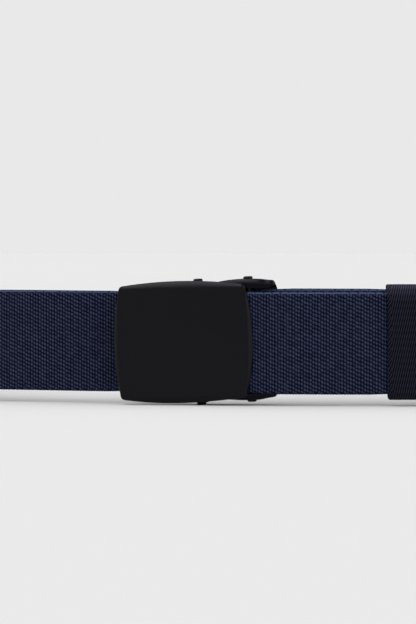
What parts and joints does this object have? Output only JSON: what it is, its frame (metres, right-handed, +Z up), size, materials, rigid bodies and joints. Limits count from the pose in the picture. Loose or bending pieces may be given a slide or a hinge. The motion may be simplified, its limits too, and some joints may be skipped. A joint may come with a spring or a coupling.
{
  "type": "webbing belt",
  "caption": "Webbing belt fastened into a waist loop: plain plate buckle on a pinned clip body, with the strap's free end tucked through a wide elastic keeper.",
  "frame": {"origin": "on the floor, under the middle of the belt's footprint", "axes": "+X to the right of someone who faces the buckle, +Y from the buckle to the back of the waist, +Z up"},
  "size_m": [0.3218, 0.2604, 0.0484],
  "materials": {
    "webbing": "navy polyester webbing, plain double weave with raised crowns, matt",
    "painted_plate": "satin black paint on die-cast zinc",
    "painted_clip": "black gloss paint on pressed steel",
    "blackened_steel": "black oxide on turned steel",
    "elastic": "black twill elastic, matt"
  },
  "bodies": {
    "root": {"webbing_strap": "webbing", "front_plate": "painted_plate", "clip_body": "painted_clip", "clamp_jaw": "blackened_steel", "plate_pin": "blackened_steel", "clamp_pin": "blackened_steel", "keeper_loop": "elastic"}
  },
  "joints": []
}
